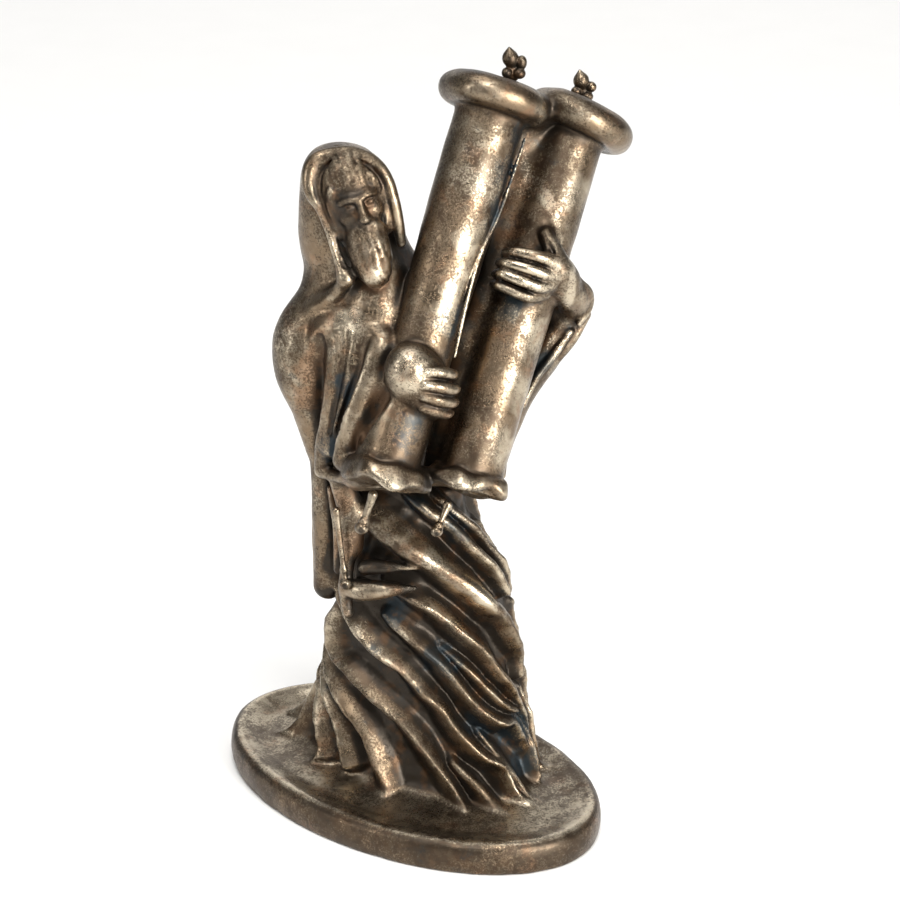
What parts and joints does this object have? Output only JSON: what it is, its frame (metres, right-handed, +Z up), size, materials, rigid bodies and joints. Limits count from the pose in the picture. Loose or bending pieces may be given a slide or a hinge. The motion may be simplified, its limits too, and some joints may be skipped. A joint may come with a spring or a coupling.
{
  "type": "statuette of a man holding a scroll",
  "caption": "small aged silvered statuette of a bearded hooded man in a twisted robe who cradles a tall two-roller scroll, on an oval base",
  "frame": {"origin": "centre of the flat underside of the oval base, which is also the underside mount", "axes": "+Z up, the figure faces -Y, +X is the figure's left"},
  "size_m": [0.115, 0.0982, 0.2176],
  "materials": {
    "statuette": "aged silver plate, polished on the crests and tarnished dark in the hollows",
    "finial_right": "aged silver plate, darkened",
    "finial_left": "aged silver plate, darkened",
    "roller_handle_right": "aged silver plate",
    "roller_handle_left": "aged silver plate",
    "shawl_tassel": "aged silver plate"
  },
  "bodies": {
    "root": {"statuette": "statuette", "finial_right": "finial_right", "finial_left": "finial_left", "roller_handle_right": "roller_handle_right", "roller_handle_left": "roller_handle_left", "shawl_tassel": "shawl_tassel"}
  },
  "joints": []
}
